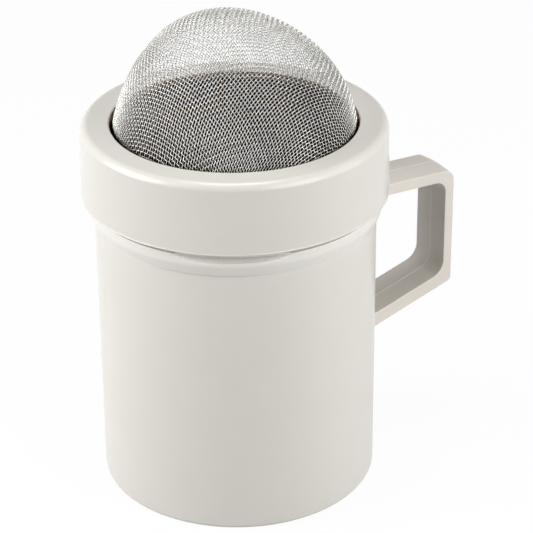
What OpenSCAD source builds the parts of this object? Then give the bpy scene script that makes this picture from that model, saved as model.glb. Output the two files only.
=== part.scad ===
// Powder shaker cup: a handled cup with a threaded neck ring, a screw-on ring
// cap and a woven wire strainer dome that stands up through the cap.
// Millimetres, +Z up. The origin is the centre of the foot, on the cup's axis,
// and the handle points along +X.

/* [Fits] */
// Glue gap between bonded pieces that lie side by side
bond_gap = 0.05; // [0.02:0.01:0.15]

/* [Cup] */
// Outside diameter of the cup body
cup_d = 65; // [58:0.5:75]
// Height of the body up to its joint with the neck ring
body_h = 66.5; // [60:0.5:90]
// Thickness of the cup wall
cup_wall = 2.2; // [1.6:0.1:2.6]
// Thickness of the floor inside the foot
floor_t = 2.4; // [1.6:0.1:4]
// Depth of the hollow under the floor
foot_recess = 1; // [0.4:0.1:2]
// Width of the foot that the cup stands on
foot_w = 2.6; // [2:0.1:5]
// Rounding of the cup's bottom edge
base_edge_r = 1; // [0.4:0.1:1.5]
// Rounding between the wall and the floor inside the cup
floor_fillet_r = 3; // [1:0.5:6]

/* [Neck ring] */
// Height of the collar that flares out below the cap
collar_h = 3.4; // [2.5:0.1:5]
// How far the collar's upper edge stays inside the cap's outline
collar_inset = 1; // [0.8:0.1:1.6]
// Step from the body's wall out to the foot of the collar
collar_step = 0.1; // [0:0.05:0.3]
// Rounding of the collar's upper edge
collar_edge_r = 0.4; // [0.2:0.05:0.8]
// Wall of the neck above the collar
neck_wall = 2.1; // [1.6:0.1:2.4]
// Length of the spigot that plugs into the body
spigot_h = 4; // [3:0.5:8]
// Wall of the spigot
spigot_wall = 1.8; // [1.4:0.1:2.4]
// Rounding of the neck's mouth
mouth_edge_r = 0.5; // [0.2:0.1:0.8]

/* [Cap] */
// Outside diameter of the cap at its top
cap_d = 70; // [66:0.5:80]
// How much the cap's radius grows from top to bottom
cap_draft = 0.4; // [0:0.05:0.8]
// Height of the cap
cap_h = 16.4; // [14:0.2:20]
// Clear height from the collar's top to the cap's lower edge
cap_gap = 3.3; // [2.6:0.1:4]
// Thickness of the cap's side wall at its top
cap_wall = 2; // [1.4:0.1:2.4]
// Thickness of the cap's roof
roof_t = 2; // [1.4:0.1:3]
// Width of the cap's flat top, from its side to the opening
top_w = 6.6; // [6.2:0.1:7]
// Rounding of the cap's upper outer edge
cap_edge_r = 1.8; // [0.8:0.1:1.9]
// Rounding of the opening's edge and of the cap's lower edge
cap_lip_r = 0.4; // [0.2:0.05:0.6]
// Wall of the threaded liner inside the cap
liner_wall = 1.6; // [1.2:0.1:2]
// How far the liner reaches below the cap's lower edge
liner_drop = 2.1; // [1:0.1:2.4]
// Radial room between the liner and the neck, which the thread ridges take up
thread_room = 0.8; // [0.6:0.1:1]

/* [Strainer] */
// Room between the edge of the opening and the middle of the woven sheet
dome_room = 1.4; // [1.2:0.1:2]
// Height of the dome's centre below the cap's upper face
dome_sink = 2.2; // [1.5:0.1:2.4]
// Turn of the weave about the axis, from the handle's direction, in degrees
weave_turn = 13; // [0:1:89]
// Spacing of the modelled wires, along the sheet
wire_pitch = 4; // [3.8:0.1:6]
// Thickness of the modelled wires
wire_d = 0.5; // [0.3:0.05:0.6]
// Room between two crossing wires
weave_gap = 0.26; // [0.25:0.01:0.4]
// Thickness of the pressed flange at the foot of the woven sheet
flange_t = 0.6; // [0.4:0.05:0.8]
// Height of the crimped steel rim
rim_t = 1.8; // [1.6:0.1:2.4]
// Room between the middle of the woven sheet and the rim's two jaws
jaw_room = 1.35; // [1.2:0.05:1.6]
// Rounding of the rim's folded outer edge
rim_fold_r = 0.6; // [0.3:0.1:0.8]
// Room between the rim and the liner around it
rim_gap = 0.4; // [0.3:0.05:0.6]

/* [Seal] */
// Thickness of the soft ring between the cap's roof and the rim
seal_t = 1.2; // [0.8:0.1:2]
// How far the soft ring stays back from the edge of the opening
seal_inset = 0.55; // [0.3:0.05:1]

/* [Handle] */
// Width of the handle's strap
strap_w = 11.5; // [8:0.5:16]
// Distance from the cup's axis to the outside of the handle
reach = 58.4; // [54:0.2:70]
// Room between the collar and the top arm
arm_room = 1.1; // [0.4:0.1:4]
// Height of the handle where it lies on the cup
handle_h = 38.8; // [36:0.2:46]
// Downward slope of the top arm, in degrees
arm_drop = 2.5; // [0:0.5:6]
// Thickness of the top arm
arm_t = 2.8; // [2:0.1:4]
// Thickness of the outer grip bar
bar_t = 2.4; // [2:0.1:4]
// Upward slope of the lower arm, in degrees
brace_rise = 16.2; // [8:0.2:20]
// Thickness of the lower arm
brace_t = 3.4; // [2.4:0.1:4.4]
// Thickness of the spine at its middle, where it lies on the cup
spine_t = 2.9; // [2:0.1:4]
// Outside radius of the top corner
top_corner_r = 2.8; // [1:0.1:4]
// Outside radius of the lower corner
low_corner_r = 1.3; // [0.6:0.1:2.2]
// Inside radius where the bar meets the top arm
bar_fillet_r = 3; // [1:0.1:4]
// Inside radius where the bar meets the lower arm
brace_fillet_r = 4; // [1:0.1:5]
// Inside radius where the spine meets the top arm
spine_fillet_r = 5.5; // [2:0.1:6]
// Inside radius where the spine meets the lower arm
root_fillet_r = 2.5; // [1:0.1:4]
// Radius of the two pegs that locate the spine on the cup
peg_r = 2; // [1.2:0.1:3]
// How far the pegs reach into the cup wall
peg_l = 1.2; // [0.6:0.1:1.4]
// Distance of each peg from its end of the spine
peg_inset = 9; // [7:0.5:14]

/* [Hidden] */

$fn = 96;
eps = 0.01;
fine_fn = 48;          // facets of small round details

// Radii, from the cup outwards and from the cap inwards
cup_r = cup_d / 2;
cup_bore_r = cup_r - cup_wall;
cap_r = cap_d / 2;
collar_r = cap_r - collar_inset;
cap_bore_r = cap_r - cap_wall;
liner_r = cap_bore_r - bond_gap;
liner_bore_r = liner_r - liner_wall;
neck_r = liner_bore_r - thread_room;
neck_bore_r = neck_r - neck_wall;
spigot_r = cup_bore_r - bond_gap;
opening_r = cap_r - top_w;
dome_r = opening_r - dome_room;
rim_r = liner_bore_r - rim_gap;

// Heights, from the foot upwards
floor_z = foot_recess + floor_t;
collar_top_z = body_h + collar_h;
cap_z = collar_top_z + cap_gap;
cap_top_z = cap_z + cap_h;
roof_z = cap_top_z - roof_t;
seal_z = roof_z - seal_t;
rim_z = seal_z - rim_t;
mouth_z = rim_z;
liner_z = cap_z - liner_drop;
dome_z = cap_top_z - dome_sink;
flange_z = rim_z + (rim_t - flange_t) / 2;

// Handle, drawn with x as the distance from the cup's axis and y as height
arm_z = body_h - arm_room;
brace_z = arm_z - handle_h;
arm_in_t = arm_t / cos(arm_drop);
brace_in_t = brace_t / cos(brace_rise);
spine_x = cup_r + spine_t;
bar_x = reach - bar_t;
peg_z = [brace_z + peg_inset, arm_z - peg_inset];

// Woven sheet
weave_h = (wire_d + weave_gap) / 2;
flange_in_r = dome_r - weave_h - wire_d;
step_a = wire_pitch / dome_r * 180 / PI;
last_wire = floor(90 / step_a);

// ---------- shared shapes ----------

// Solid of revolution of a profile drawn with x as radius and y as height
module turned() {
    rotate_extrude() children();
}

// Rectangle from radius r0 to r1 and height z0 to z1
module band(r0, r1, z0, z1) {
    translate([r0, z0]) square([r1 - r0, z1 - z0]);
}

// What a rounding takes off a corner of a profile; the corner points along
// [sx, sz] and lies at [x, z]
module corner_off(x, z, r, sx, sz) {
    translate([x, z]) difference() {
        translate([sx > 0 ? -r : -eps, sz > 0 ? -r : -eps]) square(r + eps);
        translate([-sx * r, -sz * r]) circle(r, $fn = fine_fn);
    }
}

// ---------- cup ----------

// The pegs' places, or their sockets in the cup wall with a radial gap
module pegs(gap, l) {
    for (z = peg_z)
        translate([cup_r - peg_l, 0, z]) rotate([0, 90, 0])
            cylinder(r = peg_r + gap, h = l, $fn = fine_fn);
}

module cup_body() {
    color([0.86, 0.85, 0.83]) difference() {
        turned() difference() {
            band(0, cup_r, 0, body_h);
            difference() {
                band(-1, cup_bore_r, floor_z, body_h + 1);
                corner_off(cup_bore_r, floor_z, floor_fillet_r, 1, -1);
            }
            band(-1, cup_r - foot_w, -1, foot_recess);
            corner_off(cup_r, 0, base_edge_r, 1, -1);
        }
        pegs(bond_gap, peg_l + 1);
    }
}

// Threaded neck moulded with its collar and the spigot that plugs into the body
module neck_ring() {
    color([0.88, 0.87, 0.85]) turned() difference() {
        union() {
            band(spigot_r - spigot_wall, spigot_r, body_h - spigot_h, body_h + eps);
            polygon([
                [spigot_r - spigot_wall, body_h],
                [cup_r + collar_step, body_h],
                [collar_r, collar_top_z - collar_edge_r],
                [collar_r, collar_top_z],
                [neck_bore_r, collar_top_z]
            ]);
            band(neck_bore_r, neck_r, collar_top_z - eps, mouth_z);
        }
        corner_off(collar_r, collar_top_z, collar_edge_r, 1, 1);
        corner_off(neck_r, mouth_z, mouth_edge_r, 1, 1);
    }
}

// ---------- cap ----------

module cap_shell() {
    color([0.87, 0.86, 0.84]) turned() difference() {
        polygon([
            [opening_r, roof_z],
            [cap_bore_r, roof_z],
            [cap_bore_r, cap_z],
            [cap_r + cap_draft, cap_z],
            [cap_r, cap_top_z],
            [opening_r, cap_top_z]
        ]);
        corner_off(cap_r, cap_top_z, cap_edge_r, 1, 1);
        corner_off(opening_r, cap_top_z, cap_lip_r, -1, 1);
        corner_off(cap_r + cap_draft, cap_z, cap_lip_r, 1, -1);
    }
}

module cap_liner() {
    color([0.9, 0.89, 0.87]) turned() difference() {
        band(liner_bore_r, liner_r, liner_z, roof_z);
        corner_off(liner_r, liner_z, cap_lip_r, 1, -1);
        corner_off(liner_bore_r, liner_z, cap_lip_r, -1, -1);
    }
}

// Soft ring in the cap's roof that presses the strainer's rim on the mouth
module roof_seal() {
    color([0.93, 0.92, 0.9]) turned()
        band(opening_r + seal_inset, rim_r, seal_z, roof_z);
}

// ---------- strainer ----------

// Steel channel folded over the sheet's flange, open towards the axis
module strainer_rim() {
    color([0.7, 0.7, 0.72]) turned() difference() {
        band(dome_r + jaw_room, rim_r, rim_z, rim_z + rim_t);
        band(0, rim_r - rim_fold_r, flange_z, flange_z + flange_t);
        corner_off(rim_r, rim_z + rim_t, rim_fold_r, 1, 1);
        corner_off(rim_r, rim_z, rim_fold_r, 1, -1);
    }
}

function unit(v) = v / norm(v);
function mirror_through(p, a, b) = let (n = unit(cross(a, b))) p - 2 * (p * n) * n;

// One quarter of an equal-sided net pressed over a unit sphere: knot [i][j] is
// i steps along X and j along Y from the top. Every cell keeps its four sides
// and shears, as woven cloth does, so a knot is the mirror image of the one
// before it in the plane through its two neighbours.
function net_row(prev, i) = [
    for (j = 0, q = [sin(i * step_a), 0, cos(i * step_a)];
         j <= last_wire;
         j = j + 1,
         q = j <= last_wire ? mirror_through(prev[j - 1], q, prev[j]) : q) q
];
first_row = [for (j = [0 : last_wire]) [0, sin(j * step_a), cos(j * step_a)]];
net = [for (i = 0, row = first_row; i <= last_wire; i = i + 1, row = net_row(row, i)) row];

// A knot of the whole net, from its signed numbers
function knot(i, j) = let (q = net[abs(i)][abs(j)]) [sign(i) * q[0], sign(j) * q[1], q[2]];

// The last knot of wire i before the net reaches the foot of the dome
function reach_of(i, j = 0) =
    j < last_wire && net[abs(i)][j + 1][2] > wire_pitch / 2 / dome_r ? reach_of(i, j + 1) : j;

// Where a wire that ends at knot q goes down into the flange, each family on
// its own side of the sheet
function foot_path(q, side) = let (u = unit([q[0], q[1], 0]), r = dome_r + side * weave_h) [
    r * u + [0, 0, (flange_z - dome_z) / 2],
    r * u + [0, 0, flange_z + flange_t / 2 - dome_z]
];

// Middle line of wire i of one family: over and under its neighbours in turn
function wire_line(i, side) = let (n = reach_of(i)) concat(
    [for (k = [1, 0]) foot_path(knot(i, -n), side)[k]],
    [for (j = [-n : n])
        knot(i, j) * (dome_r + side * weave_h * (abs(i + j) % 2 == 0 ? 1 : -1))],
    foot_path(knot(i, n), side)
);

// Square wire swept along a line of points, its flats facing in and out
module wire(line) {
    n = len(line);
    half = wire_d / 2;
    rings = [for (k = [0 : n - 1])
        let (t = unit(line[min(k + 1, n - 1)] - line[max(k - 1, 0)]),
             side = unit(cross(line[k], t)),
             out = cross(t, side))
        for (c = [[-1, -1], [1, -1], [1, 1], [-1, 1]])
            line[k] + half * (c[0] * side + c[1] * out)];
    skin = [for (k = [0 : n - 2], s = [0 : 3])
        let (a = 4 * k + s, b = 4 * k + (s + 1) % 4)
        each [[a, a + 4, b], [b, a + 4, b + 4]]];
    polyhedron(rings, concat(skin, [[0, 1, 2], [0, 2, 3]],
        [[4 * n - 1, 4 * n - 2, 4 * n - 3], [4 * n - 1, 4 * n - 3, 4 * n - 4]]));
}

module mesh_dome() {
    color([0.75, 0.75, 0.74]) {
        translate([0, 0, dome_z]) rotate(weave_turn)
            for (i = [1 - last_wire : last_wire - 1]) {
                wire(wire_line(i, 1));
                mirror([1, -1, 0]) wire(wire_line(i, -1));
            }
        turned() band(flange_in_r, rim_r - rim_fold_r, flange_z, flange_z + flange_t);
    }
}

// ---------- handle ----------

// Height of the top arm's upper face and of the lower arm's underside at x
function arm_at(x) = arm_z - (x - cup_r) * tan(arm_drop);
function brace_at(x) = brace_z + (x - cup_r) * tan(brace_rise);

// The sliver between a corner at p and the arc of radius r that rounds it; the
// corner's two sides run away from p at the angles a and b
module corner_sliver(p, a, b, r) {
    half = (b - a) / 2;
    to_centre = r / sin(abs(half));
    along = r / tan(abs(half));
    centre = p + to_centre * [cos(a + half), sin(a + half)];
    difference() {
        polygon([
            p - eps * [cos(a + half), sin(a + half)],
            p + along * [cos(a), sin(a)],
            centre,
            p + along * [cos(b), sin(b)]
        ]);
        translate(centre) circle(r, $fn = fine_fn);
    }
}

// Four-sided loop outline between two upright lines and the two arms' faces
module loop_quad(x0, x1, inner) {
    top = inner ? -arm_in_t : 0;
    low = inner ? brace_in_t : 0;
    polygon([
        [x0, brace_at(x0) + low], [x1, brace_at(x1) + low],
        [x1, arm_at(x1) + top], [x0, arm_at(x0) + top]
    ]);
}

module handle_profile() {
    difference() {
        loop_quad(cup_r / 2, reach, false);
        corner_sliver([reach, arm_at(reach)], 180 - arm_drop, 270, top_corner_r);
        corner_sliver([reach, brace_at(reach)], 90, 180 + brace_rise, low_corner_r);
        difference() {
            loop_quad(spine_x, bar_x, true);
            corner_sliver([bar_x, arm_at(bar_x) - arm_in_t], 180 - arm_drop, 270, bar_fillet_r);
            corner_sliver([bar_x, brace_at(bar_x) + brace_in_t],
                90, 180 + brace_rise, brace_fillet_r);
            corner_sliver([spine_x, arm_at(spine_x) - arm_in_t],
                -90, -arm_drop, spine_fillet_r);
            corner_sliver([spine_x, brace_at(spine_x) + brace_in_t],
                brace_rise, 90, root_fillet_r);
        }
    }
}

module handle() {
    color([0.68, 0.64, 0.6]) {
        difference() {
            rotate([90, 0, 0]) linear_extrude(strap_w, center = true) handle_profile();
            cylinder(r = cup_r + bond_gap, h = body_h);
        }
        intersection() {
            pegs(0, peg_l + spine_t / 2);
            translate([0, -strap_w / 2, 0]) cube([reach, strap_w, body_h]);
        }
    }
}

cup_body();
neck_ring();
handle();
cap_shell();
cap_liner();
roof_seal();
strainer_rim();
mesh_dome();
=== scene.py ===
"""Powder shaker cup: a handled cup, a threaded neck ring, a ring cap and a woven wire dome.

Sizes are in millimetres from the middle of the cup's foot, +Z up, with the handle along +X.
"""

import logging
import math
from collections.abc import Callable, Iterable, Sequence
from dataclasses import dataclass
from enum import Enum

import bmesh
import bpy
from mathutils import Matrix, Vector


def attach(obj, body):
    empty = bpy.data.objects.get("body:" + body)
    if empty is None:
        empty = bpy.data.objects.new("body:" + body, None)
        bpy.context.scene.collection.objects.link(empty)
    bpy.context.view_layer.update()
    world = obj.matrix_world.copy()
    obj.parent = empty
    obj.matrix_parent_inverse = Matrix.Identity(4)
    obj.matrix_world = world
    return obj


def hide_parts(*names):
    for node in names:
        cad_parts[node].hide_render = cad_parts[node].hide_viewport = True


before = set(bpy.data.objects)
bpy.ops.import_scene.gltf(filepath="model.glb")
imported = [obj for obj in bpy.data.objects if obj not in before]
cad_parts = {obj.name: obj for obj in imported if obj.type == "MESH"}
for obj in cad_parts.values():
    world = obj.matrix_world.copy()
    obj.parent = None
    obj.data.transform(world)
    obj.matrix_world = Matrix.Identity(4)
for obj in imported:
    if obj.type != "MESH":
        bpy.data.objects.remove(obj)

MM = 0.001
SAME = 0.01  # places nearer to each other than this, in millimetres, count as one
SIDES = 256  # sides of a turned piece
VIEW_TURN = 31.85  # degrees from the cup's -Y side to the camera's, clockwise from above
LOG = logging.getLogger("shaker")
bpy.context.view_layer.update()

Colour = tuple[float, float, float]
Piece = bpy.types.Object
Material = bpy.types.Material
Socket = bpy.types.NodeSocket


# ---------- bench: modelling operators ----------


def clear_bench() -> None:
    """Leaves edit mode and deselects every object."""
    if bpy.context.object is not None and bpy.context.object.mode != "OBJECT":
        bpy.ops.object.mode_set(mode="OBJECT")
    bpy.ops.object.select_all(action="DESELECT")


def hold(piece: Piece) -> None:
    """Makes one object the only selected and active one."""
    clear_bench()
    piece.select_set(True)
    bpy.context.view_layer.objects.active = piece


def named(name: str) -> Piece:
    """Gives the object just added its name and returns it."""
    piece = bpy.context.active_object
    piece.name = name
    piece.data.name = name
    return piece


def settle(piece: Piece) -> None:
    """Puts a piece's place, turn and scale into its mesh."""
    hold(piece)
    bpy.ops.object.transform_apply(location=True, rotation=True, scale=True)


def open_edit(piece: Piece, kind: str = "EDGE") -> None:
    """Starts edit mode on a piece with nothing selected.

    Args:
        piece: The object to edit.
        kind: VERT, EDGE or FACE, what will be selected.
    """
    hold(piece)
    bpy.ops.object.mode_set(mode="EDIT")
    bpy.ops.mesh.select_mode(type=kind)
    bpy.ops.mesh.select_all(action="DESELECT")


def pick_verts(piece: Piece, wanted: Callable[[Vector], bool]) -> None:
    """Selects the vertices of a piece in edit mode that pass a test.

    Args:
        piece: The object in edit mode.
        wanted: Says of a place, in millimetres, whether it is picked.
    """
    bpy.ops.mesh.select_mode(type="VERT")
    bpy.ops.mesh.select_all(action="DESELECT")
    mesh = bmesh.from_edit_mesh(piece.data)
    for vert in mesh.verts:
        if wanted(vert.co / MM):
            vert.select_set(True)
    mesh.select_flush(True)
    bmesh.update_edit_mesh(piece.data)


def pick_edges(piece: Piece, wanted: Callable[[Vector, Vector], bool]) -> None:
    """Selects the edges of a piece in edit mode whose two ends pass a test.

    Args:
        piece: The object in edit mode.
        wanted: Says of an edge's two ends, in millimetres, whether it is picked.
    """
    bpy.ops.mesh.select_mode(type="EDGE")
    bpy.ops.mesh.select_all(action="DESELECT")
    mesh = bmesh.from_edit_mesh(piece.data)
    for edge in mesh.edges:
        if wanted(edge.verts[0].co / MM, edge.verts[1].co / MM):
            edge.select_set(True)
    bmesh.update_edit_mesh(piece.data)


def round_picked(width: float, steps: int) -> None:
    """Rounds the picked edges.

    Args:
        width: How far the rounding reaches from the edge, in millimetres.
        steps: Its segments.
    """
    bpy.ops.mesh.bevel(
        offset=width * MM, offset_type="OFFSET", segments=steps, profile=0.5,
        affect="EDGES", clamp_overlap=False,
    )


def use_modifier(piece: Piece, kind: str, **settings: object) -> None:
    """Adds a modifier to a piece and applies it.

    Args:
        piece: The object to change.
        kind: The modifier's type.
        settings: Its values, by their names.
    """
    hold(piece)
    modifier = piece.modifiers.new(kind.title(), kind)
    for key, value in settings.items():
        setattr(modifier, key, value)
    bpy.ops.object.modifier_apply(modifier=modifier.name)


def cut_away(piece: Piece, cutter: Piece) -> None:
    """Takes a cutter's shape out of a piece and removes the cutter."""
    use_modifier(piece, "BOOLEAN", operation="DIFFERENCE", solver="EXACT", object=cutter)
    bpy.data.objects.remove(cutter, do_unlink=True)


def add_on(piece: Piece, extra: Piece) -> None:
    """Joins an extra shape to a piece and removes it."""
    use_modifier(piece, "BOOLEAN", operation="UNION", solver="EXACT", object=extra)
    bpy.data.objects.remove(extra, do_unlink=True)


def weld(piece: Piece, reach: float = 0.002) -> None:
    """Merges doubled vertices of a piece and turns its faces outwards.

    Args:
        piece: The object to clean.
        reach: How far apart doubled vertices may lie, in millimetres.
    """
    open_edit(piece, "VERT")
    bpy.ops.mesh.select_all(action="SELECT")
    bpy.ops.mesh.remove_doubles(threshold=reach * MM)
    bpy.ops.mesh.normals_make_consistent(inside=False)
    bpy.ops.object.mode_set(mode="OBJECT")


def smooth(piece: Piece, angle: float = 32.0) -> None:
    """Smooths a piece up to an angle and keeps its wide faces even.

    Args:
        piece: The object to shade.
        angle: Sharper edges than this, in degrees, stay crisp.
    """
    hold(piece)
    bpy.ops.object.shade_smooth_by_angle(angle=math.radians(angle))
    use_modifier(piece, "WEIGHTED_NORMAL", keep_sharp=True, weight=80)


@dataclass(frozen=True)
class Corner:
    """One corner of a turned outline, in millimetres.

    Attributes:
        r: Radius.
        z: Height.
        rounding: How much of the corner is rounded off.
        steps: Segments of that rounding.
    """

    r: float
    z: float
    rounding: float = 0.0
    steps: int = 6

    def has(self, place: Vector) -> bool:
        """Says whether a place lies on this corner's circle."""
        off = abs(math.hypot(place.x, place.y) - self.r)
        return off < SAME and abs(place.z - self.z) < SAME

    def has_edge(self, a: Vector, b: Vector) -> bool:
        """Says whether both ends of an edge lie on this corner's circle."""
        return self.has(a) and self.has(b)


def turn(name: str, corners: Sequence[Corner], is_ring: bool = True) -> Piece:
    """Turns a piece: a circle is pulled from corner to corner of its outline.

    Args:
        name: The piece's name.
        corners: The outline, in order.
        is_ring: True for an outline that closes on itself, False where both ends are filled.

    Returns:
        The finished object.
    """
    clear_bench()
    first = corners[0]
    bpy.ops.mesh.primitive_circle_add(
        vertices=SIDES, radius=first.r * MM, fill_type="NOTHING", location=(0, 0, first.z * MM)
    )
    piece = named(name)
    settle(piece)
    open_edit(piece)
    bpy.ops.mesh.select_all(action="SELECT")
    path = [*corners[1:], first] if is_ring else corners[1:]
    for before, after in zip([first, *path], path):
        bpy.ops.mesh.extrude_region_move(
            TRANSFORM_OT_translate={"value": (0, 0, (after.z - before.z) * MM)}
        )
        spread = after.r / before.r
        if spread != 1:
            bpy.ops.transform.resize(value=(spread, spread, 1), center_override=(0, 0, 0))
    if not is_ring:
        for end in (first, corners[-1]):
            pick_edges(piece, end.has_edge)
            bpy.ops.mesh.edge_face_add()
    weld(piece)
    open_edit(piece)
    for corner in corners:
        if corner.rounding > 0:
            pick_edges(piece, corner.has_edge)
            round_picked(corner.rounding, corner.steps)
    weld(piece)
    smooth(piece)
    return piece


def radial_bar(
    name: str, radius: float, near: float, far: float, z: float, sides: int = 40
) -> Piece:
    """A round bar along +X, whose middle line points at the cup's axis.

    Args:
        name: The bar's name.
        radius: Its radius.
        near: Distance of its inner end from the cup's axis.
        far: Distance of its outer end.
        z: Height of its middle line.
        sides: Its sides.

    Returns:
        The bar.
    """
    clear_bench()
    bpy.ops.mesh.primitive_cylinder_add(
        vertices=sides, radius=radius * MM, depth=(far - near) * MM,
        location=((near + far) / 2 * MM, 0, z * MM), rotation=(0, math.pi / 2, 0),
    )
    return named(name)


def from_view(place: Sequence[float]) -> Vector:
    """Turns a place or way from the camera's right, far and up to the row frame."""
    return Matrix.Rotation(math.radians(-VIEW_TURN), 3, "Z") @ Vector(place)


# ---------- finishes ----------


def from_screen(red: int, green: int, blue: int) -> Colour:
    """A colour from its three screen values, 0 to 255, as light."""

    def light(value: int) -> float:
        share = value / 255
        return share / 12.92 if share <= 0.04045 else ((share + 0.055) / 1.055) ** 2.4

    return light(red), light(green), light(blue)


class Nodes:
    """A node tree, with short calls to add and link its nodes."""

    def __init__(self, tree: bpy.types.NodeTree) -> None:
        """Empties a tree and works on it.

        Args:
            tree: The tree.
        """
        self.tree = tree
        tree.nodes.clear()

    def add(self, kind: str, **settings: object) -> bpy.types.Node:
        """Adds a node of a kind, with its settings by name."""
        node = self.tree.nodes.new(kind)
        for key, value in settings.items():
            setattr(node, key, value)
        return node

    def link(self, source: Socket, target: Socket) -> None:
        """Links an output to an input."""
        self.tree.links.new(source, target)

    def feed(self, target: Socket, value: Socket | float | Sequence[float]) -> None:
        """Sets an input to a value, or links it to an output."""
        if isinstance(value, Socket):
            self.link(value, target)
        else:
            target.default_value = value

    def math(self, operation: str, first: Socket | float, second: Socket | float = 0.0) -> Socket:
        """One step of arithmetic.

        Args:
            operation: The math node's operation.
            first: Its first input.
            second: Its second input.

        Returns:
            The result's socket.
        """
        node = self.add("ShaderNodeMath", operation=operation)
        self.feed(node.inputs[0], first)
        self.feed(node.inputs[1], second)
        return node.outputs[0]

    def range(
        self, source: Socket, low: float, high: float, to_low: float = 0.0, to_high: float = 1.0,
        kind: str = "LINEAR",
    ) -> Socket:
        """Maps a range of values to another, clamped.

        Args:
            source: The value's socket.
            low: The start of its range.
            high: The end of its range.
            to_low: What the start becomes.
            to_high: What the end becomes.
            kind: The node's interpolation.

        Returns:
            The result's socket.
        """
        node = self.add("ShaderNodeMapRange", interpolation_type=kind)
        self.link(source, node.inputs["Value"])
        for key, value in (
            ("From Min", low), ("From Max", high), ("To Min", to_low), ("To Max", to_high)
        ):
            node.inputs[key].default_value = value
        return node.outputs["Result"]

    def seen(self) -> Socket:
        """1 to the camera and in reflections, 0 elsewhere."""
        path = self.add("ShaderNodeLightPath").outputs
        total = path["Is Camera Ray"]
        for name in ("Is Glossy Ray", "Is Transmission Ray"):
            total = self.math("MAXIMUM", total, path[name])
        return total


class Board(Nodes):
    """A material's node tree around a Principled shader."""

    def __init__(self, name: str) -> None:
        """Starts a material.

        Args:
            name: The material's name.
        """
        self.material = bpy.data.materials.new(name)
        self.material.use_nodes = True
        super().__init__(self.material.node_tree)
        self.surface = self.add("ShaderNodeOutputMaterial").inputs["Surface"]
        self.shader = self.add("ShaderNodeBsdfPrincipled")
        self.link(self.shader.outputs["BSDF"], self.surface)
        self.place = self.add("ShaderNodeTexCoord").outputs["Object"]

    def set(self, **values: object) -> None:
        """Sets the shader's own sockets, by their names with _ for a space."""
        for key, value in values.items():
            socket = key.replace("_", " ").title().replace("Ior", "IOR")
            self.feed(self.shader.inputs[socket], value)

    def noise(self, size: float, detail: float, stretch: Sequence[float] | None = None) -> Socket:
        """Cloudy noise.

        Args:
            size: How large its patches are, in millimetres.
            detail: Octaves of finer noise in it.
            stretch: How the coordinates are scaled along each axis, if at all.

        Returns:
            The socket of its strength, about 0.3 to 0.7.
        """
        node = self.add("ShaderNodeTexNoise")
        place = self.place
        if stretch is not None:
            mapping = self.add("ShaderNodeMapping")
            self.link(place, mapping.inputs["Vector"])
            mapping.inputs["Scale"].default_value = stretch
            place = mapping.outputs["Vector"]
        self.link(place, node.inputs["Vector"])
        node.inputs["Scale"].default_value = 1 / (size * MM)
        node.inputs["Detail"].default_value = detail
        node.inputs["Roughness"].default_value = 0.55
        return node.outputs["Fac"]

    def patches(self, size: float, detail: float, low: float = 0.3, high: float = 0.7) -> Socket:
        """Cloudy noise that is spread over the whole of 0 to 1.

        Args:
            size: How large its patches are, in millimetres.
            detail: Octaves of finer noise in it.
            low: The strength that becomes 0.
            high: The strength that becomes 1.

        Returns:
            The socket of its strength.
        """
        return self.range(self.noise(size, detail), low, high)

    def mix(self, share: Socket, first: Socket | Colour, second: Socket | Colour) -> Socket:
        """Mixes two colours by a share."""
        node = self.add("ShaderNodeMix", data_type="RGBA")
        self.feed(node.inputs["Factor"], share)
        colours = [s for s in node.inputs if s.type == "RGBA"]
        for target, value in zip(colours, (first, second)):
            self.feed(target, (*value, 1.0) if isinstance(value, tuple) else value)
        return [s for s in node.outputs if s.type == "RGBA"][0]

    def blend(self, share: Socket, first: Socket | float, second: Socket | float) -> Socket:
        """Mixes two numbers by a share."""
        node = self.add("ShaderNodeMix", data_type="FLOAT")
        self.feed(node.inputs[0], share)
        self.feed(node.inputs[2], first)
        self.feed(node.inputs[3], second)
        return node.outputs[0]

    def bump(self, height: Socket, depth: float, under: Socket | None = None) -> Socket:
        """Relief from a height.

        Args:
            height: The height's socket, 0 to 1.
            depth: How deep the relief is, in millimetres.
            under: The relief that this one lies on.

        Returns:
            The socket of the normal.
        """
        node = self.add("ShaderNodeBump")
        node.inputs["Strength"].default_value = 1.0
        node.inputs["Distance"].default_value = depth * MM
        self.link(height, node.inputs["Height"])
        if under is not None:
            self.link(under, node.inputs["Normal"])
        return node.outputs["Normal"]

    def axes(self) -> Sequence[Socket]:
        """The object's three coordinates, in metres."""
        split = self.add("ShaderNodeSeparateXYZ")
        self.link(self.place, split.inputs[0])
        return split.outputs

    def radius(self) -> Socket:
        """Distance from the cup's axis, in metres."""
        x, y, _ = self.axes()
        squares = [self.math("MULTIPLY", along, along) for along in (x, y)]
        return self.math("SQRT", self.math("ADD", *squares))

    def lean(self, rise: Sequence[float]) -> Socket:
        """A height that grows along x and y, in metres."""
        parts = [self.math("MULTIPLY", along, by) for along, by in zip(self.axes(), rise)]
        return self.math("ADD", *parts)


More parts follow.
